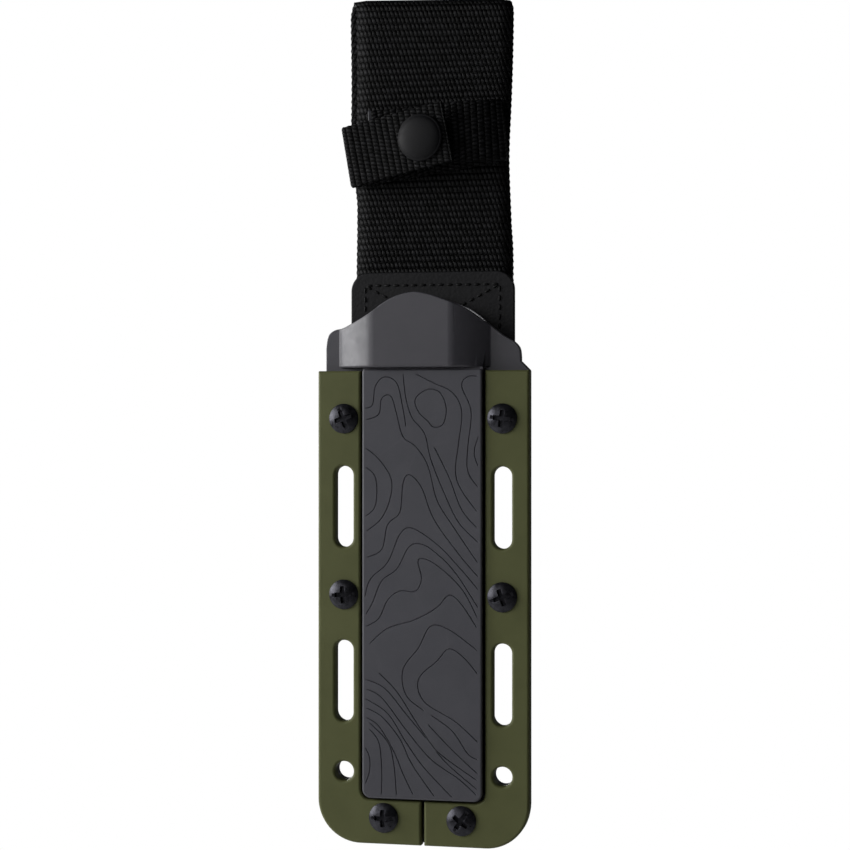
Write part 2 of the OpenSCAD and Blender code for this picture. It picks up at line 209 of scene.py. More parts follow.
def oxide(name, dark, light, roughness, metal, gloss):
    """Blackened or enamelled metal with faint rubbed spots."""
    material, tree, shader = new_material(name)
    coords = add(tree, "ShaderNodeTexCoord").outputs["Object"]
    spots = noise(tree, coords, 700, 6, 0.75)
    tree.links.new(ramp(tree, spots, (0.35, dark), (0.75, light)), shader.inputs["Base Color"])
    tree.links.new(span(tree, spots, roughness - 0.08, roughness + 0.1), shader.inputs["Roughness"])
    tree.links.new(bump(tree, noise(tree, coords, 2600, 3), 0.00001), shader.inputs["Normal"])
    shader.inputs["Metallic"].default_value = metal
    shader.inputs["Specular IOR Level"].default_value = gloss
    return material


def maths(tree, operation, first, second=0.0, third=0.0):
    """The outcome of one sum on outputs or numbers."""
    made = add(tree, "ShaderNodeMath", {0: first, 1: second, 2: third}, operation=operation)
    return made.outputs[0]


def hump(tree, phase, fullness):
    """1 in the middle of each whole step of phase, falling to 0 at its ends."""
    swing = maths(tree, "MULTIPLY_ADD", maths(tree, "FRACT", phase), 2.0, -1.0)
    return maths(tree, "SUBTRACT", 1.0, maths(tree, "POWER", maths(tree, "ABSOLUTE", swing), fullness))


def woven(name, gap_shade, dark, light, row, bead):
    """Nylon weave: oval beads in offset rows, laid out along the strip in mm, with painted shade in the
    gaps between beads and a painted highlight on their crowns.
    """
    material, tree, shader = new_material(name)
    uv = add(tree, "ShaderNodeUVMap", uv_map="weave").outputs["UV"]
    coords = add(tree, "ShaderNodeTexCoord").outputs["Object"]
    parts = add(tree, "ShaderNodeSeparateXYZ", {"Vector": uv}).outputs
    rows = maths(tree, "DIVIDE", parts["Y"], row)
    offset = maths(tree, "MULTIPLY", maths(tree, "PINGPONG", maths(tree, "FLOOR", rows), 1.0), 0.5)
    wander = maths(tree, "MULTIPLY_ADD", noise(tree, coords, 260, 2), 0.35, -0.17)
    columns = maths(tree, "ADD", maths(tree, "DIVIDE", parts["X"], bead), offset)
    columns = maths(tree, "ADD", columns, wander)
    slanted = maths(tree, "MULTIPLY_ADD", maths(tree, "FRACT", rows), 0.3, columns)
    height = maths(tree, "MULTIPLY", hump(tree, rows, 3.0), hump(tree, slanted, 1.4))
    drawn_out = add(tree, "ShaderNodeMapping", {"Vector": uv, "Scale": (3.2, 0.5, 1)}).outputs["Vector"]
    yarn = noise(tree, drawn_out, 1.6, 3, 0.6)
    cell = add(tree, "ShaderNodeCombineXYZ", {"X": maths(tree, "FLOOR", slanted),
                                              "Y": maths(tree, "FLOOR", rows)}).outputs["Vector"]
    own = add(tree, "ShaderNodeTexWhiteNoise", {"Vector": cell}, noise_dimensions="2D").outputs["Value"]
    own = maths(tree, "MULTIPLY_ADD", own, 0.9, 0.3)
    # Colour follows each bead's height times its own random tone and the yarn: painted shade in the gaps,
    # painted highlight on the crowns.
    tone = maths(tree, "MULTIPLY", maths(tree, "MULTIPLY", height, own),
                 maths(tree, "MULTIPLY_ADD", yarn, 1.2, 0.3))
    tree.links.new(ramp(tree, tone, (0.08, gap_shade), (0.35, dark), (0.9, light)), shader.inputs["Base Color"])
    tree.links.new(span(tree, yarn, 0.42, 0.62), shader.inputs["Roughness"])
    shader.inputs["Specular IOR Level"].default_value = 0.09
    relief = bump(tree, maths(tree, "SQRT", maths(tree, "MAXIMUM", height, 0.0)), 0.0003)
    tree.links.new(bump(tree, yarn, 0.00012, relief), shader.inputs["Normal"])
    return material


def coated(name, dark, light):
    """Coated sheet of the hanger tab: leathery pebbles and a dull shine."""
    material, tree, shader = new_material(name)
    coords = add(tree, "ShaderNodeTexCoord").outputs["Object"]
    pebbles = add(tree, "ShaderNodeTexVoronoi", {"Vector": coords, "Scale": 1100.0,
                  "Randomness": 1.0}, feature="SMOOTH_F1").outputs["Distance"]
    patches = noise(tree, coords, 140, 4)
    tree.links.new(ramp(tree, patches, (0.3, dark), (0.7, light)), shader.inputs["Base Color"])
    tree.links.new(span(tree, patches, 0.42, 0.6), shader.inputs["Roughness"])
    tree.links.new(bump(tree, pebbles, 0.00006), shader.inputs["Normal"])
    shader.inputs["Specular IOR Level"].default_value = 0.25
    return material


# Each moulding's third colour goes on its edges: rubbed wear and a painted edge highlight.
green = moulded("olive_moulding", srgb(84, 87, 52), srgb(91, 94, 58), srgb(124, 126, 98),
                0.55, 0.3, 3000, 0.000012)
charcoal = moulded("charcoal_moulding", srgb(67, 66, 72), srgb(72, 71, 77), srgb(105, 104, 110),
                   0.45, 0.6, 3500, 0.00001)
panel_grey = moulded("panel_moulding", srgb(72, 72, 78), srgb(78, 78, 84), srgb(112, 112, 118),
                     0.5, 0.4, 3200, 0.000014)
black_oxide = oxide("black_oxide", srgb(34, 34, 38), srgb(70, 70, 76), 0.33, 0.8, 0.4)
enamel = oxide("black_enamel", srgb(14, 14, 16), srgb(20, 20, 22), 0.52, 0.0, 0.12)
tab_black = coated("coated_sheet", srgb(17, 17, 19), srgb(22, 22, 25))
thread = oxide("bonded_thread", srgb(5, 5, 6), srgb(14, 14, 16), 0.6, 0.0, 0.2)
sealed_end = oxide("heat_sealed_nylon", srgb(30, 30, 34), srgb(58, 58, 64), 0.5, 0.0, 0.3)
# The black first colour is painted shade in the weave's gaps; the lightest colour goes on the bead crowns,
# partly as a painted highlight.
webbing_weave = woven("webbing_weave", srgb(0, 0, 0), srgb(5, 5, 6), srgb(26, 26, 28),
                      WEAVE_ROW, WEAVE_BEAD)
strap_weave = woven("strap_weave", srgb(0, 0, 0), srgb(5, 5, 6), srgb(26, 26, 28),
                    STRAP_ROW, STRAP_BEAD)

# ---- mesh helpers ------------------------------------------------------------------------

# Cosines of the angles between two faces: above CREASE they share their shading, and above
# SAME_PLANE they count as one flat stretch. Below STRAIGHT, two edges run on in one line.
CREASE, SAME_PLANE, STRAIGHT = math.cos(math.radians(50)), 0.99999, -0.9999
FLAT_LIMIT = math.radians(0.6)
# Points within MERGE metres are one point, and points within ON_CUT metres of a cut are on it
MERGE, ON_CUT = 2e-6, 4e-6


def make_object(name, verts, faces, material):
    """A closed, smoothly shaded mesh piece from points in metres."""
    mesh = bpy.data.meshes.new(name)
    mesh.from_pydata([tuple(v) for v in verts], [], [tuple(int(i) for i in f) for f in faces])
    bm = bmesh.new()
    bm.from_mesh(mesh)
    bmesh.ops.recalc_face_normals(bm, faces=bm.faces)
    bm.to_mesh(mesh)
    bm.free()
    mesh.polygons.foreach_set("use_smooth", [True] * len(mesh.polygons))
    mesh.materials.append(material)
    made = bpy.data.objects.new(name, mesh)
    bpy.context.scene.collection.objects.link(made)
    return made


def flat_areas(bm):
    """For each face, the area of the whole flat stretch that it belongs to, in square millimetres."""
    area_of = {}
    for face in bm.faces:
        if face in area_of:
            continue
        stretch = [face]
        area_of[face] = None
        for one in stretch:
            for edge in one.edges:
                for other in edge.link_faces:
                    if other not in area_of and other.normal.dot(one.normal) > SAME_PLANE:
                        area_of[other] = None
                        stretch.append(other)
        area = sum(one.calc_area() for one in stretch) / MM ** 2
        area_of.update({one: area for one in stretch})
    return area_of


def fans(vert):
    """The faces around a point, in groups that no crease divides."""
    left = list(vert.link_faces)
    while left:
        fan = [left.pop()]
        for one in fan:
            for edge in one.edges:
                if vert in edge.verts:
                    near = [other for other in edge.link_faces
                            if other in left and other.normal.dot(one.normal) > CREASE]
                    left = [other for other in left if other not in near]
                    fan += near
        yield fan


def settle_normals(mesh):
    """Shading that keeps every flat face flat and turns only over the narrow faces between them."""
    mesh.polygons.foreach_set("use_smooth", [True] * len(mesh.polygons))
    bm = bmesh.new()
    bm.from_mesh(mesh)
    area_of = flat_areas(bm)
    corners = [None] * len(mesh.loops)
    for vert in bm.verts:
        for fan in fans(vert):
            normal = sum((face.normal * area_of[face] ** 2 for face in fan), Vector()).normalized()
            for face in fan:
                at = [loop.vert for loop in face.loops].index(vert)
                corners[mesh.polygons[face.index].loop_start + at] = normal
    bm.free()
    mesh.normals_split_custom_set(corners)


def cleaned(node, levels, foot_cuts):
    """A CAD node's shape in as few faces as possible.

    Its faces are cut level across at the heights of their holes, and upright through the foot
    screws' holes, so that none has a hole in it and no cut meets a rounded edge at a slant."""
    bm = bmesh.new()
    bm.from_mesh(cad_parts[node].data)
    bmesh.ops.remove_doubles(bm, verts=bm.verts, dist=MERGE)
    heights = [place(0, 0, z).z for z in levels]
    for z in heights:
        bmesh.ops.bisect_plane(bm, geom=bm.verts[:] + bm.edges[:] + bm.faces[:], dist=MERGE,
                               plane_co=(0, 0, z), plane_no=(0, 0, 1))
    kept = set()
    for x in (-FOOT_SCREW_X * MM, FOOT_SCREW_X * MM) if foot_cuts else ():
        top = heights[0] + ON_CUT
        low = [v for v in bm.verts if v.co.z < top]
        low += [part for part in bm.edges[:] + bm.faces[:] if all(v.co.z < top for v in part.verts)]
        bmesh.ops.bisect_plane(bm, geom=low, dist=MERGE, plane_co=(x, 0, 0), plane_no=(1, 0, 0))
        kept |= {e for e in bm.edges if all(abs(v.co.x - x) < ON_CUT and v.co.z < top for v in e.verts)}
    kept |= {e for e in bm.edges if any(max(abs(v.co.z - z) for v in e.verts) < ON_CUT for z in heights)}
    bmesh.ops.dissolve_limit(bm, angle_limit=FLAT_LIMIT,
                             edges=[e for e in bm.edges if e not in kept],
                             verts=[v for v in bm.verts if kept.isdisjoint(v.link_edges)])
    midway = []
    for v in bm.verts:
        if len(v.link_edges) == 2:
            one, two = ((e.other_vert(v).co - v.co).normalized() for e in v.link_edges)
            if one.dot(two) < STRAIGHT:
                midway.append(v)
    bmesh.ops.dissolve_verts(bm, verts=midway)
    return bm


def finished(node, rounding, material, body, edit=None, segments=3, angle=32, levels=(),
             foot_cuts=False):
    """A CAD node's own shape with every edge sharper than angle degrees rounded.

    rounding is a radius in mm, or a function that gives one for an edge's two ends in mm. edit
    changes the shape before that; levels and foot_cuts say where cleaned() cuts it."""
    bm = cleaned(node, levels, foot_cuts)
    if edit:
        edit(bm)
    weight = bm.edges.layers.float.new("bevel_weight_edge")
    radii = {}
    for edge in bm.edges:
        if len(edge.link_faces) == 2 and edge.calc_face_angle() > math.radians(angle):
            ends = [(v.co - place(0, 0, 0)) / MM for v in edge.verts]
            radii[edge] = rounding(*ends) if callable(rounding) else rounding
    widest = max(radii.values())
    for edge, radius in radii.items():
        edge[weight] = radius / widest
    mesh = bpy.data.meshes.new(node + "_finished")
    bm.to_mesh(mesh)
    bm.free()
    mesh.materials.append(material)
    made = bpy.data.objects.new(mesh.name, mesh)
    bpy.context.scene.collection.objects.link(made)
    bevel = made.modifiers.new("rounding", "BEVEL")
    bevel.width = widest * MM
    bevel.segments = segments
    bevel.limit_method = "WEIGHT"
    bevel.use_clamp_overlap = False
    bevel.miter_outer = "MITER_ARC"
    rounded = made.evaluated_get(bpy.context.evaluated_depsgraph_get())
    made.data = bpy.data.meshes.new_from_object(rounded)
    made.modifiers.clear()
    settle_normals(made.data)
    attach(made, body)
    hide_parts(node)


def lathe(profile, steps=96):
    """Points and faces of a closed turned shape from (radius, height) pairs, axis on +Z."""
    verts, faces, rings = [], [], []
    for r, h in profile:
        if r < 1e-6:
            rings.append([len(verts)])
            verts.append((0, 0, h))
        else:
            rings.append(list(range(len(verts), len(verts) + steps)))
            verts += [(r * math.cos(2 * math.pi * k / steps), r * math.sin(2 * math.pi * k / steps), h)
                      for k in range(steps)]
    for low, high in zip(rings, rings[1:]):
        for k in range(steps):
            n = (k + 1) % steps
            quad = [low[k % len(low)], low[n % len(low)], high[n % len(high)], high[k % len(high)]]
            faces.append(list(dict.fromkeys(quad)))
    return np.array(verts), faces


# ---- moulded parts and their hardware ----------------------------------------------------

RAIL_FRONT_R, RAIL_BACK_R = 0.9, 0.25
LIP_R, FLANK_CREASE_R, SHELL_EDGE_R, TAB_EDGE_R = 0.7, 1.0, 0.35, 0.45
# A point of the mouth's lip beyond one of these is on its outside
LIP_OUT_X, LIP_OUT_Y = PANEL_HALF_W + 0.2, 5.5
FLANK_MIN_H = 3
SCREW_EDGE_R, NUT_EDGE_R = 0.1, 0.12
PANEL_SINK = 0.3


def sink_panel(bm):
    """Lowers the panel's front a little, because the engraved cover stands over it."""
    for v in bm.verts:
        x, y, z = (v.co - place(0, 0, 0)) / MM
        if abs(x) < PANEL_HALF_W + NEAR / 2 and y < PANEL_Y + NEAR and z < PANEL_TOP_Z + NEAR / 2:
            v.co.y = place(0, RAIL_FRONT_Y - PANEL_SINK, 0).y


def rail_rounding(a, b):
    """Full on the front's edges, small behind."""
    return RAIL_FRONT_R if max(a.y, b.y) < RAIL_FRONT_Y + NEAR else RAIL_BACK_R


def shell_rounding(a, b):
    """Larger on the mouth's lower lip and its flanks' creases, none where the lip meets the panel."""
    ends = (a, b)
    if all(PANEL_TOP_Z - NEAR < p.z < BULGE_Z + NEAR and abs(p.x) < LIP_OUT_X
           and FLANGE_T + NEAR < abs(p.y) < NEAR - PANEL_Y for p in ends):
        return 0
    outside = all(abs(p.x) > LIP_OUT_X or abs(p.y) > LIP_OUT_Y for p in ends)
    on_lip = all(abs(p.z - BULGE_Z) < NEAR / 2 for p in ends)
    if outside and on_lip and max(abs(a.y), abs(b.y)) > FLANGE_T + NEAR:
        return LIP_R
    if min(abs(a.y), abs(b.y)) > BULGE_RISE - NEAR and abs(a.z - b.z) > FLANK_MIN_H:
        return FLANK_CREASE_R
    return SHELL_EDGE_R


for shell, edit in (("front_shell", sink_panel), ("back_shell", None)):
    finished(shell, shell_rounding, charcoal, "sheath", edit=edit, segments=4, angle=12,
             levels=SHELL_LEVELS, foot_cuts=True)
for rail in ("left_rail", "right_rail"):
    finished(rail, rail_rounding, green, "sheath", segments=4, levels=HOLE_LEVELS,
             foot_cuts=True)
finished("hanger_tab", TAB_EDGE_R, tab_black, "sheath", levels=HOLE_LEVELS[-1:])

for hole in ("top_left", "top_right", "middle_left", "middle_right", "foot_left", "foot_right"):
    finished("screw_" + hole, SCREW_EDGE_R, black_oxide, "sheath", segments=2)
    finished("post_nut_" + hole, NUT_EDGE_R, black_oxide, "sheath", segments=2)

# ---- engraved panel ----------------------------------------------------------------------

# Height lines of a made-up map, in whole millimetres across and up; a line that ends on its
# first point is a closed one
MAP_LINES = [
    [(-19, 139), (-16, 140), (-15, 146), (-12, 149), (-8, 147), (-6, 139), (-5, 133)],
    [(-19, 135), (-14, 137), (-13, 142), (-10, 143), (-8, 137), (-6, 130), (-2, 127), (2, 121),
     (5, 110), (10, 102), (19, 89)],
    [(-6, 150), (-5, 142), (-3, 136), (1, 131), (3, 123), (7, 113), (12, 103), (19, 96)],
    [(2, 135), (-1, 138), (-2, 142), (2, 145), (6, 144), (8, 139), (7, 134), (4, 133), (2, 135)],
    [(-2, 150), (4, 147), (10, 144), (13, 138), (12, 128), (11, 119), (13, 113), (19, 105)],
    [(19, 149), (15, 149), (13, 146), (16, 138), (15, 127), (15, 119), (19, 113)],
    [(19, 132), (17, 125), (19, 119)],
    [(-19, 127), (-14, 123), (-10, 117), (-10, 111), (-13, 104), (-19, 99)],
    [(-19, 121), (-15, 117), (-15, 108), (-19, 104)],
    [(4, 127), (9, 117), (13, 107), (19, 100)],
    [(-19, 91), (-13, 94), (-11, 102), (-7, 106), (-6, 115), (-4, 118), (0, 114), (4, 104),
     (12, 93), (19, 85)],
    [(-19, 75), (-17, 84), (-11, 90), (-7, 99), (-3, 101), (5, 96), (12, 89), (19, 81)],
    [(-19, 72), (-16, 77), (-13, 84), (-8, 88), (-4, 95), (0, 96), (5, 93), (11, 87), (19, 75)],
    [(-19, 69), (-14, 72), (-11, 78), (-7, 81), (-2, 81), (0, 85), (-1, 91), (4, 90), (13, 82),
     (19, 71)],
    [(-17, 64), (-11, 69), (-2, 72), (5, 76), (9, 80), (13, 77), (19, 68)],
    [(1, 43), (-5, 48), (-6, 56), (-1, 63), (3, 70), (9, 69), (19, 62)],
    [(19, 33), (11, 40), (1, 46), (-1, 53), (5, 59), (9, 63), (14, 60), (19, 54)],
    [(3, 42), (10, 37), (15, 30), (19, 28)],
    [(2, 39), (10, 31), (19, 23)],
    [(-14, 55), (-8, 49), (-2, 40), (3, 33), (7, 29), (19, 21)],
    [(-19, 53), (-12, 50), (-5, 42), (2, 34), (8, 27), (19, 18)],
    [(-19, 50), (-13, 47), (-5, 37), (3, 28), (12, 22), (19, 16)],
    [(-19, 47), (-11, 42), (-5, 33), (1, 25), (11, 15)],
    [(-19, 44), (-13, 41), (-7, 34), (-3, 26), (5, 15)],
    [(-19, 41), (-14, 38), (-9, 30), (-6, 23), (-2, 15)],
    [(-17, 39), (-11, 33), (-9, 26), (-8, 15)],
    [(-17, 37), (-14, 33), (-13, 26), (-13, 15)],
    [(-19, 32), (-17, 28), (-17, 23), (-19, 18)],
]
GROOVE_HALF_W, GROOVE_DEPTH, GROOVE_STEP, GROOVE_MARGIN = 0.22, 0.3, 0.8, 0.1
# The cover's sides end just above the flange
COVER_FOOT_Y = -1.65


def spline(points, steps=12, closed=False):
    """A smooth curve through control rows."""
    p = np.asarray(points, float)
    p = np.vstack([p[-2], p, p[1]]) if closed else np.vstack([2 * p[0] - p[1], p, 2 * p[-1] - p[-2]])
    t = np.linspace(0, 1, steps, endpoint=False)[:, None]
    out = [0.5 * (2 * b + (c - a) * t + (2 * a - 5 * b + 4 * c - d) * t ** 2
                  + (3 * b - a - 3 * c + d) * t ** 3)
           for a, b, c, d in zip(p, p[1:], p[2:], p[3:])]
    return np.vstack(out + [p[-2:-1]])


def evenly(points, step, closed=False):
    """A line's points moved to even steps along it."""
    if closed:
        points = np.vstack([points, points[:1]])
    run = np.concatenate([[0], np.cumsum(np.linalg.norm(np.diff(points, axis=0), axis=1))])
    count = max(int(round(run[-1] / step)), 3)
    where = np.linspace(0, run[-1], count + 1)
    out = np.stack([np.interp(where, run, points[:, k]) for k in range(points.shape[1])], axis=1)
    return out[:-1] if closed else out


def rounded_panel(inset):
    """The panel's outline drawn in by inset: round lower corners and nearly square upper ones."""
    low, high = PANEL_Z + inset, PANEL_TOP_Z - inset
    half = PANEL_HALF_W - inset
    lower_r, upper_r = PANEL_CORNER_R - inset, PANEL_UPPER_R - inset
    corners = [(half - lower_r, low + lower_r, lower_r, -90), (half - upper_r, high - upper_r, upper_r, 0),
               (upper_r - half, high - upper_r, upper_r, 90), (lower_r - half, low + lower_r, lower_r, 180)]
    return [(cx + r * math.cos(math.radians(a + 15 * k)), cz + r * math.sin(math.radians(a + 15 * k)))
            for cx, cz, r, a in corners for k in range(7)]


def within_panel(line):
    """The part of a line whose groove stays on the panel's flat front."""
    reach = PANEL_HALF_W - PANEL_EDGE_R - GROOVE_HALF_W - GROOVE_MARGIN
    bottom, top = PANEL_Z + PANEL_HALF_W - reach, PANEL_TOP_Z - PANEL_HALF_W + reach
    line = line[(abs(line[:, 0]) < reach) & (line[:, 1] > bottom) & (line[:, 1] < top)]
    beyond = np.hypot(np.maximum(abs(line[:, 0]) - PANEL_HALF_W + PANEL_CORNER_R, 0),
                      np.maximum(PANEL_Z + PANEL_CORNER_R - line[:, 1], 0))
    return line[beyond < PANEL_CORNER_R - PANEL_EDGE_R - GROOVE_HALF_W]


def sideways(line, closed):
    """Unit normals of a flat line at its points."""
    ahead = np.roll(line, -1, 0) - np.roll(line, 1, 0)
    if not closed:
        ahead[0], ahead[-1] = line[1] - line[0], line[-1] - line[-2]
    normal = np.stack([-ahead[:, 1], ahead[:, 0]], axis=1)
    return normal / np.linalg.norm(normal, axis=1)[:, None]


def groove_plan(flat):
    """Points and edges of the flat front's outline and of all grooves, and which points are sunk.

    A groove has three lines, of which the middle one is sunk; an open groove's ends rise out."""
    points = list(flat)
    edges = [(k, (k + 1) % len(flat)) for k in range(len(flat))]
    sunk = set()
    for controls in MAP_LINES:
        closed = controls[0] == controls[-1]
        line = within_panel(spline(controls, closed=closed))
        line = evenly(line[:-1] if closed else line, GROOVE_STEP, closed)
        normal = sideways(line, closed)
        first, count = len(points), len(line)
        for shift in (0, GROOVE_HALF_W, -GROOVE_HALF_W):
            start = len(points)
            points += [tuple(p) for p in line + normal * shift]
            edges += [(start + k, start + k + 1) for k in range(count - 1)]
            if closed:
                edges.append((start + count - 1, start))
        sunk.update(range(first, first + count))
        if not closed:
            sunk -= {first, first + count - 1}
    return points, edges, sunk


def engraved_panel():
    """The panel's front and sides, with every contour line cut in as a groove."""
    flat = rounded_panel(PANEL_EDGE_R)
    points, edges, sunk = groove_plan(flat)
    made, _, faces, origin, _, _ = delaunay_2d_cdt([Vector(p) for p in points], edges, [], 0, 1e-5)
    verts = [(p.x, PANEL_Y + (GROOVE_DEPTH if any(o in sunk for o in from_)
                              and not any(o < len(flat) for o in from_) else 0), p.y)
             for p, from_ in zip(made, origin)]
    rim = {o: i for i, from_ in enumerate(origin) for o in from_ if o < len(flat)}
    ring = [rim[k] for k in range(len(flat))]
    faces = [list(f) for f in faces]
    plain = len(faces)
    turns = [math.radians(a) for a in (18, 36, 54, 72, 90)]
    rows = [(PANEL_EDGE_R * (1 - math.sin(t)), PANEL_Y + PANEL_EDGE_R * (1 - math.cos(t))) for t in turns]
    for inset, y in rows + [(0, COVER_FOOT_Y)]:
        start = len(verts)
        verts += [(x, y, z) for x, z in rounded_panel(inset)]
        new = list(range(start, start + len(flat)))
        faces += [[ring[k], ring[(k + 1) % len(ring)], new[(k + 1) % len(ring)], new[k]]
                  for k in range(len(ring))]
        ring = new
    faces.append(ring[::-1])
    cover = make_object("engraved_panel", place_all(verts), faces, panel_grey)
    smooth = [plain <= k < len(faces) - 1 for k in range(len(faces))]
    cover.data.polygons.foreach_set("use_smooth", smooth)
    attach(cover, "sheath")


engraved_panel()

# ---- woven strips ------------------------------------------------------------------------

WEB_RELIEF, WEB_COLUMNS = 0.5, 150
STRAP_RELIEF, STRAP_COLUMNS, STRAP_EDGE_DEPTH, SEALED_ROWS = 0.34, 60, 0.18, 3
ROLL_W, INNER_POINTS = 1.1, 13
# Above the bend the loop's layers stay together for STIFF_H, then part over PARTING_H and
# shift sideways over SKEW_H
STIFF_H, PARTING_H, SKEW_H = 3, 34, 42
# The right edge draws in around WAIST_Z, where the keeper is, and stands out above SWELL_Z
WAIST_W, WAIST_Z, WAIST_H, SWELL_Z, SWELL_H = 0.75, 222, 16, 238, 30
# Above LEAN_Z the webbing slopes down to the right, by LEAN at the top, and rises by LEAN_RISE
LEAN, LEAN_Z, LEAN_H, LEAN_RISE = 0.031, 236, 34, 1.4
# Both layers at the right, and the front one at the left, reach this far past the half width
EDGE_OUT = 0.4
# The inner arm starts to follow its joint this far in front of the sewn strap
INNER_ARM_STEP = 0.6


def bead_relief(along, across, row, bead):
    """How far the weave lies below its highest points, from 0 to 1: offset rows of oval beads."""
    rows = along / row
    columns = across / bead + 0.5 * (np.floor(rows) % 2)
    up = 1 - np.abs(2 * (rows % 1) - 1) ** 2.4
    over = 1 - 0.7 * np.abs(2 * (columns % 1) - 1) ** 2.4
    return 1 - np.sqrt(np.clip(up * over, 0, 1))


def half_thickness(share, half, thickness, sink):
    """Half a strip's thickness less its sunk weave, drawn in where the selvedges are rolled."""
    rolled = np.clip((1 - np.abs(share)) * half[:, None] / ROLL_W, 0, 1)
    return (thickness / 2) * np.sqrt(1 - 0.8 * (1 - rolled) ** 2) - sink * rolled


def grid_faces(rows, columns, first, flip=False):
    """Four-sided faces over rows of points that are numbered on from first."""
    i, j = np.meshgrid(np.arange(rows - 1), np.arange(columns - 1), indexing="ij")
    a = (first + i * columns + j).ravel()
    turn = [a, a + columns, a + columns + 1, a + 1] if flip else [a, a + 1, a + columns + 1, a + columns]
    return np.stack(turn, 1).tolist()


def strip_faces(n, c, f):
    """Faces of a strip with n stations of c outer points, and then n of f inner points."""
    base = n * c
    faces = grid_faces(n, c, 0) + grid_faces(n, f, base, flip=True)
    for k in range(n - 1):
        faces.append([k * c, (k + 1) * c, base + (k + 1) * f, base + k * f])
        faces.append([k * c + c - 1, base + k * f + f - 1, base + (k + 1) * f + f - 1,
                      (k + 1) * c + c - 1])
    for k in (0, n - 1):
        faces.append([*range(k * c, k * c + c), *range(base + k * f + f - 1, base + k * f - 1, -1)])
    return faces


def strip(name, centres, widths, outward, left_w, right_w, thickness, relief, columns, weave,
          edge_depth=0.25, sealed=0):
    """A woven strip along centre points: fine weave outside, plain ribs inside, beaded selvedges.

    All in laid-out millimetres; left_w and right_w give each station's two half widths, and
    sealed is how many rows at its end are melted. Returns the piece and its length."""
    n = len(centres)
    row, bead, material = weave
    run = np.concatenate([[0], np.cumsum(np.linalg.norm(np.diff(centres, axis=0), axis=1))])
    beads = edge_depth * np.abs(np.cos(math.pi * run / row))
    ribs = relief * 0.6 * np.abs(np.cos(math.pi * run / row))[:, None]
    half = (left_w + right_w) / 2
    middle = (right_w - left_w) / 2
    share, few = np.linspace(-1, 1, columns + 1), np.linspace(-1, 1, INNER_POINTS)
    across, few_across = (part[None, :] * (half - beads)[:, None] + middle[:, None]
                          for part in (share, few))
    along = np.repeat(run[:, None], columns + 1, axis=1)
    sink = relief * bead_relief(along, share[None, :] * half[:, None], row, bead)
    high = half_thickness(share, half, thickness, sink)
    low = half_thickness(few, half, thickness, ribs)
    outer = centres[:, None] + widths[:, None] * across[..., None] + outward[:, None] * high[..., None]
    inner = centres[:, None] + widths[:, None] * few_across[..., None] - outward[:, None] * low[..., None]
    verts = np.vstack([outer.reshape(-1, 3), inner.reshape(-1, 3)])
    made = make_object(name, place_all(verts), strip_faces(n, len(share), len(few)), material)
    made.data.materials.append(sealed_end)
    for polygon in made.data.polygons[(n - 1 - sealed) * columns:(n - 1) * columns]:
        polygon.material_index = 1
    made.data.polygons[-1].material_index = 1 if sealed else 0
    uv = made.data.uv_layers.new(name="weave")
    flat = np.vstack([np.stack([across, along], -1).reshape(-1, 2),
                      np.stack([few_across, np.repeat(run[:, None], len(few), 1)], -1).reshape(-1, 2)])
    corner = np.zeros(len(made.data.loops), int)
    made.data.loops.foreach_get("vertex_index", corner)
    uv.data.foreach_set("uv", flat[corner].ravel())
    return made, run[-1]


def ease(t):
    """A smooth step from 0 to 1 as t goes from 0 to 1."""
    t = np.clip(t, 0, 1)
    return t * t * (3 - 2 * t)


def outward_of(centres, widths):
    """Unit normals of a strip whose width is given at each centre."""
    normals = np.cross(np.gradient(centres, axis=0), widths)
    return normals / np.linalg.norm(normals, axis=1)[:, None]


def belt_webbing():
    """One strip: up from behind the tab, over the top fold, and down behind itself."""
    mid_r = (LOOP_GAP + WEB_T) / 2
    fold_z = WEB_TOP_Z - WEB_T / 2 - mid_r
    loop_y = BEND_Y + LOOP_GAP / 2
    up = [(BEND_Y - WEB_T / 2, z, 0) for z in np.linspace(TAIL_Z, fold_z, 60)]
    over = [(loop_y - mid_r * math.cos(a), fold_z + mid_r * math.sin(a), ease(a / math.pi))
            for a in np.linspace(0, math.pi, 25)[1:-1]]
    down = []
    for z in np.linspace(fold_z, TAIL_Z, 80):
        above = z - BEND_Z - STIFF_H
        down.append((BEND_Y + WEB_T / 2 + LOOP_GAP * ease(above / PARTING_H), z, ease(above / SKEW_H)))
    rows = np.array(up + over + down)
    points = np.stack([-WEB_SKEW * rows[:, 2], rows[:, 0], rows[:, 1]], 1)
    points = evenly(points, WEAVE_ROW / 5)
    widths = np.tile([1.0, 0, 0], (len(points), 1))
    outward = outward_of(points, widths)
    z = points[:, 2]
    front = points[:, 1] < loop_y
    waist = WAIST_W * ease((z - SWELL_Z) / SWELL_H) - WAIST_W * np.exp(-((z - WAIST_Z) / WAIST_H) ** 2)
    right = WEB_HALF_W + EDGE_OUT + np.where(front, waist, 0.3 * waist) + 0.15 * np.sin(z / 9)
    left = WEB_HALF_W + np.where(front, EDGE_OUT, 0.0) + 0.12 * np.sin(z / 7 + 1)
    lean = LEAN * ease((z - LEAN_Z) / LEAN_H)
    points[:, 2] += LEAN_RISE / LEAN * lean
    widths[:, 2] = -lean
    made, length = strip("belt_webbing", points, widths, outward, left, right, WEB_T, WEB_RELIEF,
                         WEB_COLUMNS, (WEAVE_ROW, WEAVE_BEAD, webbing_weave))
    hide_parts("webbing_loop", "webbing_tail_front", "webbing_tail_back")
    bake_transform(made)
    return length


def tilted(origin, along, up, y, tilt):
    """A point along and across a strap that rises to the right by tilt degrees."""
    c, s = math.cos(math.radians(tilt)), math.sin(math.radians(tilt))
    return (origin[0] + along * c - up * s, y, origin[1] + along * s + up * c)


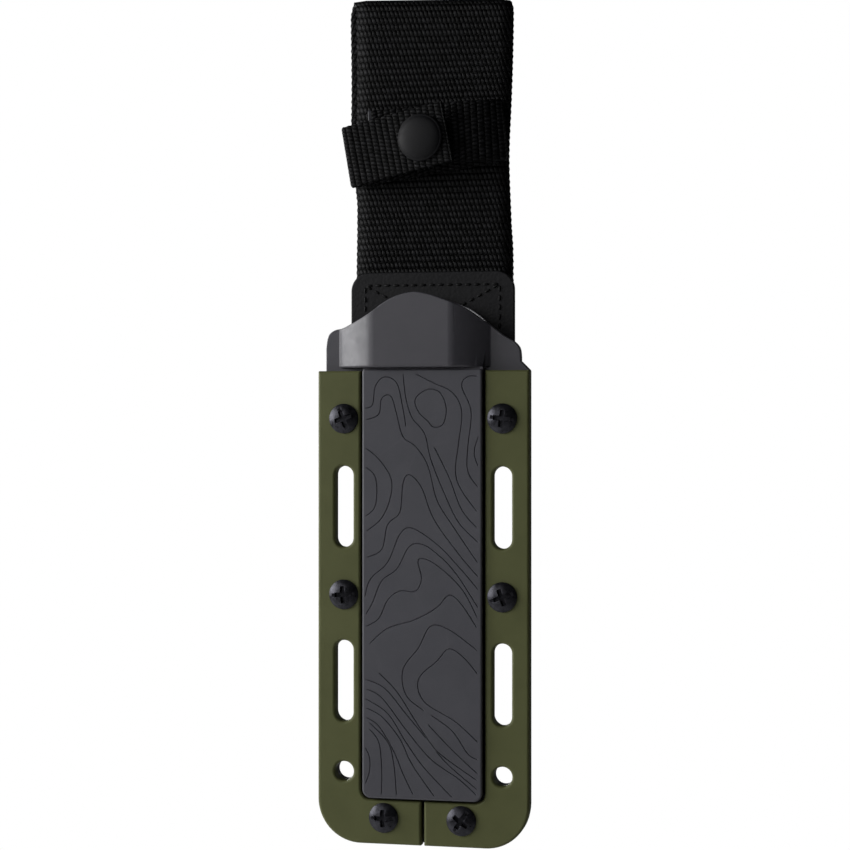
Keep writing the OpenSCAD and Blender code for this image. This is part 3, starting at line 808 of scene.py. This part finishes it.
def strap_piece(name, origin, controls, node_names, arm_y, sealed):
    """Half of the keeper strap, from the webbing round a fold to an arm, by rows of (along, y, tilt)."""
    rows = spline(controls)
    points = np.array([tilted(origin, a, 0, y, tilt) for a, y, tilt in rows])
    widths = np.array([tilted((0, 0), 0, 1, 0, tilt) for _, _, tilt in rows])
    joined = evenly(np.hstack([points, widths]), STRAP_ROW / 6)
    points, widths = joined[:, :3], joined[:, 3:]
    outward = outward_of(points, widths)
    if outward[-1][1] > 0:
        outward = -outward
    half = np.full(len(points), STRAP_HALF_W)
    made, length = strip(name, points, widths, outward, half, half, STRAP_T, STRAP_RELIEF,
                         STRAP_COLUMNS, (STRAP_ROW, STRAP_BEAD, strap_weave), STRAP_EDGE_DEPTH, sealed)
    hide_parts(*node_names)
    place(origin[0], FOLD_Y + FOLD_R - STRAP_T / 2, origin[1])
    place(origin[0], arm_y, origin[1])
    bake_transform(made)
    return length


def keeper_strap():
    """The keeper strap in two halves that meet under their sewing in the middle of the webbing."""
    back, front = FOLD_Y + FOLD_R, FOLD_Y - FOLD_R
    slope = math.tan(math.radians(ARM_SLOPE))
    reach = OUTER_ARM_L * math.cos(math.radians(ARM_SLOPE))
    turn = (BASE_TILT + OUTER_TILT) / 2
    left = [(BASE_RUN / 2, back, BASE_TILT), (BASE_RUN / 4, back, BASE_TILT), (3, back, BASE_TILT),
            (0.4, back, BASE_TILT), (-1.1, FOLD_Y + 1.1, turn), (-FOLD_R, FOLD_Y, turn),
            (-1.3, FOLD_Y - 1.0, turn), (0, front, OUTER_TILT), (3, front - 3 * slope, OUTER_TILT),
            (reach / 2, front - slope * reach / 2, OUTER_TILT), (reach, front - slope * reach, OUTER_TILT)]
    length = strap_piece("keeper_strap_left", LEFT_FOLD, left, ["keeper_outer_arm", "keeper_base"],
                         front + STRAP_T / 2, 0)
    turn = (BASE_TILT + INNER_TILT) / 2
    path = [(-42.5, -0.5), (-36, -0.85), (-29, -1.22), (-22.5, -2.37), (-16, -3.52), (-12, -4),
            (-8, -3.9), (-4.2, -3.2), (-1.6, -2.25)]
    right = [(-BASE_RUN / 2, back, BASE_TILT), (-BASE_RUN / 4, back, BASE_TILT), (-3, back, BASE_TILT),
             (-0.4, back, BASE_TILT), (1.1, FOLD_Y + 1.1, turn), (FOLD_R, FOLD_Y, turn),
             (1.0, FOLD_Y - 1.3, turn)]
    right += [(x, FOLD_Y + y, INNER_TILT) for x, y in reversed(path)]
    length += strap_piece("keeper_strap_right", RIGHT_FOLD, right, ["keeper_inner_arm"],
                          back - STRAP_T / 2 - INNER_ARM_STEP, SEALED_ROWS)
    return length


belt_length = belt_webbing()
strap_length = keeper_strap()

# ---- sewing ------------------------------------------------------------------------------

THREAD_R, THREAD_ARCH, THREAD_SINK = 0.42, 0.22, 0.2
# The thread lies this far below the weave's highest points
WEB_SEW_DEPTH, STRAP_SEW_DEPTH = 0.15, 0.1
BOX_HALF_W, BOX_LOW, BOX_HIGH, BOX_PITCH = 22.3, 155.0, 179.2, 2.9
TACK_GAP, TACK_HALF_L, TACK_PITCH = 1.4, 8.6, 2.1


def stitches(name, lines, y, pitch, body, facing=-1):
    """Rows of thread along (x, z) lines on a face at y: each stitch arches out and dives back in."""
    sides, rings, radius, length = 6, 7, THREAD_R, pitch * 0.78
    verts, faces = [], []
    for (x0, z0), (x1, z1) in lines:
        run = math.hypot(x1 - x0, z1 - z0)
        dx, dz = (x1 - x0) / run, (z1 - z0) / run
        for k in range(max(int(run / pitch), 1)):
            middle = (k + 0.5) * run / max(int(run / pitch), 1)
            start = len(verts)
            for r in range(rings):
                t = r / (rings - 1) * 2 - 1
                swell = radius * math.sqrt(max(1 - t ** 6, 0.02))
                lift = THREAD_ARCH * (1 - t * t) - THREAD_SINK
                for q in range(sides):
                    a = 2 * math.pi * q / sides
                    u = middle + t * length / 2
                    w = swell * math.cos(a)
                    verts.append((x0 + dx * u - dz * w, y + facing * (lift + swell * math.sin(a)),
                                  z0 + dz * u + dx * w))
            for r in range(rings - 1):
                for q in range(sides):
                    a, b = start + r * sides + q, start + r * sides + (q + 1) % sides
                    faces.append([a, b, b + sides, a + sides])
            faces.append(list(range(start, start + sides)))
            faces.append(list(range(start + (rings - 1) * sides, start + rings * sides))[::-1])
    made = make_object(name, place_all(verts), faces, thread)
    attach(made, body)


def tab_sewing():
    """A box with a cross through the tab and both tails, seen from either side."""
    corners = [(-BOX_HALF_W, BOX_LOW), (BOX_HALF_W, BOX_LOW), (BOX_HALF_W, BOX_HIGH),
               (-BOX_HALF_W, BOX_HIGH)]
    lines = list(zip(corners, corners[1:] + corners[:1]))
    lines += [(corners[0], corners[2]), (corners[1], corners[3])]
    stitches("tab_sewing_front", lines, TAB_FRONT_Y, BOX_PITCH, "sheath")
    stitches("tab_sewing_back", lines, BEND_Y + WEB_T - WEB_SEW_DEPTH, BOX_PITCH, "sheath", facing=1)


def keeper_sewing():
    """Three rows side by side where the keeper strap is sewn to the webbing."""
    base_middle = ((LEFT_FOLD[0] + RIGHT_FOLD[0]) / 2, (LEFT_FOLD[1] + RIGHT_FOLD[1]) / 2)
    rows = []
    for across in (-TACK_GAP, 0, TACK_GAP):
        low, high = (tilted(base_middle, across, up, 0, BASE_TILT) for up in (-TACK_HALF_L, TACK_HALF_L))
        rows.append(((low[0], low[2]), (high[0], high[2])))
    stitches("keeper_sewing", rows, FOLD_Y + FOLD_R - STRAP_T / 2 + STRAP_SEW_DEPTH, TACK_PITCH,
             "belt_loop")


tab_sewing()
keeper_sewing()

# ---- snap --------------------------------------------------------------------------------

CROWN_R, CROWN_Z, CROWN_H = 7.0, 0.75, 1.45
RIM_R, RIM_Z, RIM_W, RIM_H = 6.9, 0.45, 0.7, 0.5
SNAP_EDGE_R = 0.15


def snap_cap():
    """Domed enamel cap with its rolled rim, on the outer arm."""
    arm = Matrix.Translation(place(LEFT_FOLD[0], FOLD_Y, LEFT_FOLD[1])) \
        @ Matrix.Rotation(math.radians(-OUTER_TILT), 4, "Y") \
        @ Matrix.Rotation(math.radians(-ARM_SLOPE), 4, "Z")
    seat = arm @ Matrix.Translation(Vector((SNAP_S, -FOLD_R - STRAP_T / 2, 0)) * MM) \
        @ Matrix.Rotation(math.radians(90), 4, "X")
    crown = [(CROWN_R * math.sin(a), CROWN_Z + CROWN_H * math.cos(a))
             for a in np.linspace(0, math.pi / 2, 14)[:-1]]
    rim = [(RIM_R + RIM_W * math.sin(a), RIM_Z + RIM_H * math.cos(a))
           for a in np.linspace(0.35, math.pi, 9)]
    verts, faces = lathe(crown + rim + [(0, 0)])
    verts = np.array([seat @ Vector(v) for v in verts * MM])
    made = make_object("snap_cap_domed", verts, faces, enamel)
    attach(made, "snap_arm")
    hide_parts("snap_cap")


snap_cap()
for node_name, body in (("snap_socket", "snap_arm"), ("snap_stud", "stud_arm"), ("snap_post", "stud_arm")):
    finished(node_name, SNAP_EDGE_R, enamel, body, segments=2)

# ---- floor, light and camera -------------------------------------------------------------

# The range and the step aside are in metres, the height in laid-out millimetres
CAMERA_AZIMUTH = math.radians(12)
CAMERA_RANGE = 0.617
CAMERA_ASIDE = 0.00084
CAMERA_UP = 133.7
PIXELS, FOCAL_PIXELS, SENSOR = 850, 1944, 36.0
FLOOR_SIZE, FLOOR_DROP = 30, 0.35
LAMPS_AIM_Z = 140
LAMPS = [  # name, place from the object's middle in metres, size in metres, watts
    ("key_left", (-1.1, -0.4, 0.25), 0.9, 15.0),
    ("front_soft", (-0.5, -1.2, 0.45), 0.8, 2.7),
    ("left_edge", (-0.8, 0.15, 0.1), 0.35, 2.0),
    ("back_soft", (-0.7, 1.1, 0.0), 0.6, 7.0),
    ("right_back", (0.65, 1.0, 0.3), 0.6, 0.35),
]

camera = bpy.data.objects.new("camera", bpy.data.cameras.new("camera"))
bpy.context.scene.collection.objects.link(camera)
toward = Vector((math.sin(CAMERA_AZIMUTH), -math.cos(CAMERA_AZIMUTH), 0))
aside = Vector((math.cos(CAMERA_AZIMUTH), math.sin(CAMERA_AZIMUTH), 0))
camera.location = place(0, RAIL_FRONT_Y, CAMERA_UP) + toward * CAMERA_RANGE + aside * CAMERA_ASIDE
camera.rotation_euler = (math.pi / 2, 0, CAMERA_AZIMUTH)
camera.data.sensor_width = SENSOR
camera.data.lens = FOCAL_PIXELS * SENSOR / PIXELS
camera.data.clip_start = 0.01
bpy.context.scene.camera = camera


def white_to_camera(tree, shader_output, output_name):
    """Shows pure white to the camera, and the given shader to everything else."""
    white = add(tree, "ShaderNodeEmission", {"Color": (1, 1, 1, 1), "Strength": 1.0})
    seen = add(tree, "ShaderNodeLightPath").outputs["Is Camera Ray"]
    mix = tree.nodes.new("ShaderNodeMixShader")
    tree.links.new(seen, mix.inputs[0])
    tree.links.new(shader_output, mix.inputs[1])
    tree.links.new(white.outputs[0], mix.inputs[2])
    tree.links.new(mix.outputs[0], tree.nodes[output_name].inputs["Surface"])


def studio():
    """Pale floor well below the hanging object, a white surround and soft lights."""
    bpy.ops.mesh.primitive_plane_add(size=FLOOR_SIZE, location=(0, 0, FOOT_Z - FLOOR_DROP))
    floor = bpy.context.object
    floor.name = "floor"
    pale, tree, shader = new_material("pale_floor")
    shader.inputs["Base Color"].default_value = (0.8, 0.8, 0.8, 1)
    white_to_camera(tree, shader.outputs[0], "Material Output")
    floor.data.materials.append(pale)
    world = bpy.data.worlds.new("surround")
    bpy.context.scene.world = world
    world.use_nodes = True
    dim = world.node_tree.nodes["Background"]
    dim.inputs["Color"].default_value = (0.93, 0.95, 1.0, 1)
    dim.inputs["Strength"].default_value = 0.02
    white_to_camera(world.node_tree, dim.outputs[0], "World Output")
    middle = place(0, 0, LAMPS_AIM_Z)
    for name, offset, size, watts in LAMPS:
        light = bpy.data.lights.new(name, "AREA")
        light.shape = "DISK"
        light.size = size
        light.energy = watts
        lamp = bpy.data.objects.new(name, light)
        lamp.location = middle + Vector(offset)
        lamp.rotation_euler = (-Vector(offset)).to_track_quat("-Z", "Y").to_euler()
        bpy.context.scene.collection.objects.link(lamp)
    bpy.context.scene.view_settings.view_transform = "Standard"


studio()
